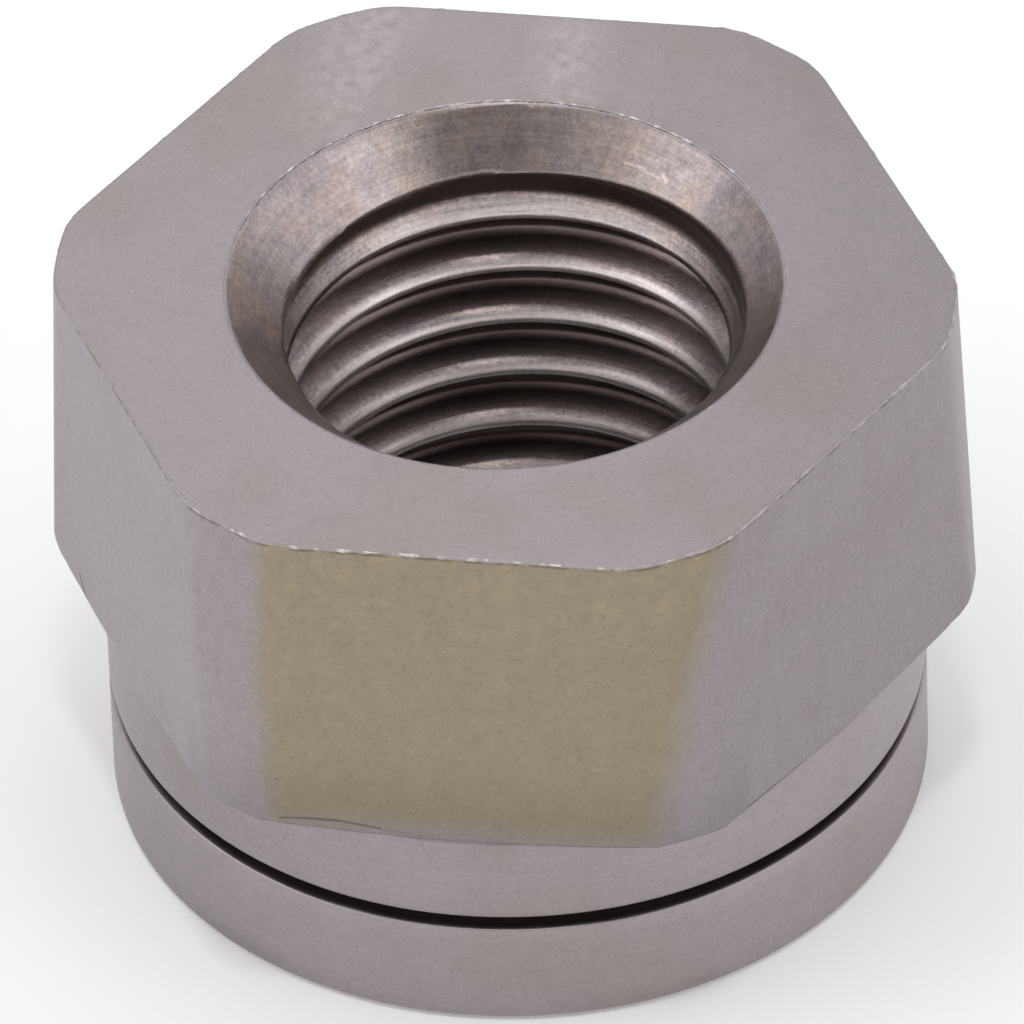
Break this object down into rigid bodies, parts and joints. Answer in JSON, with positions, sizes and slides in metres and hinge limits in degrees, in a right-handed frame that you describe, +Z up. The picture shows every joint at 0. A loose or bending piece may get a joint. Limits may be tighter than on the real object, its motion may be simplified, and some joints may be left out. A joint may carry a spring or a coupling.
{
  "type": "shaft nut",
  "caption": "Hexagon nut with its corners turned to a slight taper, a round collar with a narrow groove below, a cone at the mouth of the bore and a left-hand fine thread.",
  "frame": {"origin": "centre of the flat seat below the collar, on the bore's axis", "axes": "+Z up the bore from the seat to the countersunk top, -Y square to one flat of the hexagon, +X through a corner"},
  "size_m": [0.0142, 0.0126, 0.0094],
  "materials": {
    "steel": "bare turned and milled steel, satin"
  },
  "bodies": {
    "root": {"shaft_nut": "steel"}
  },
  "joints": []
}
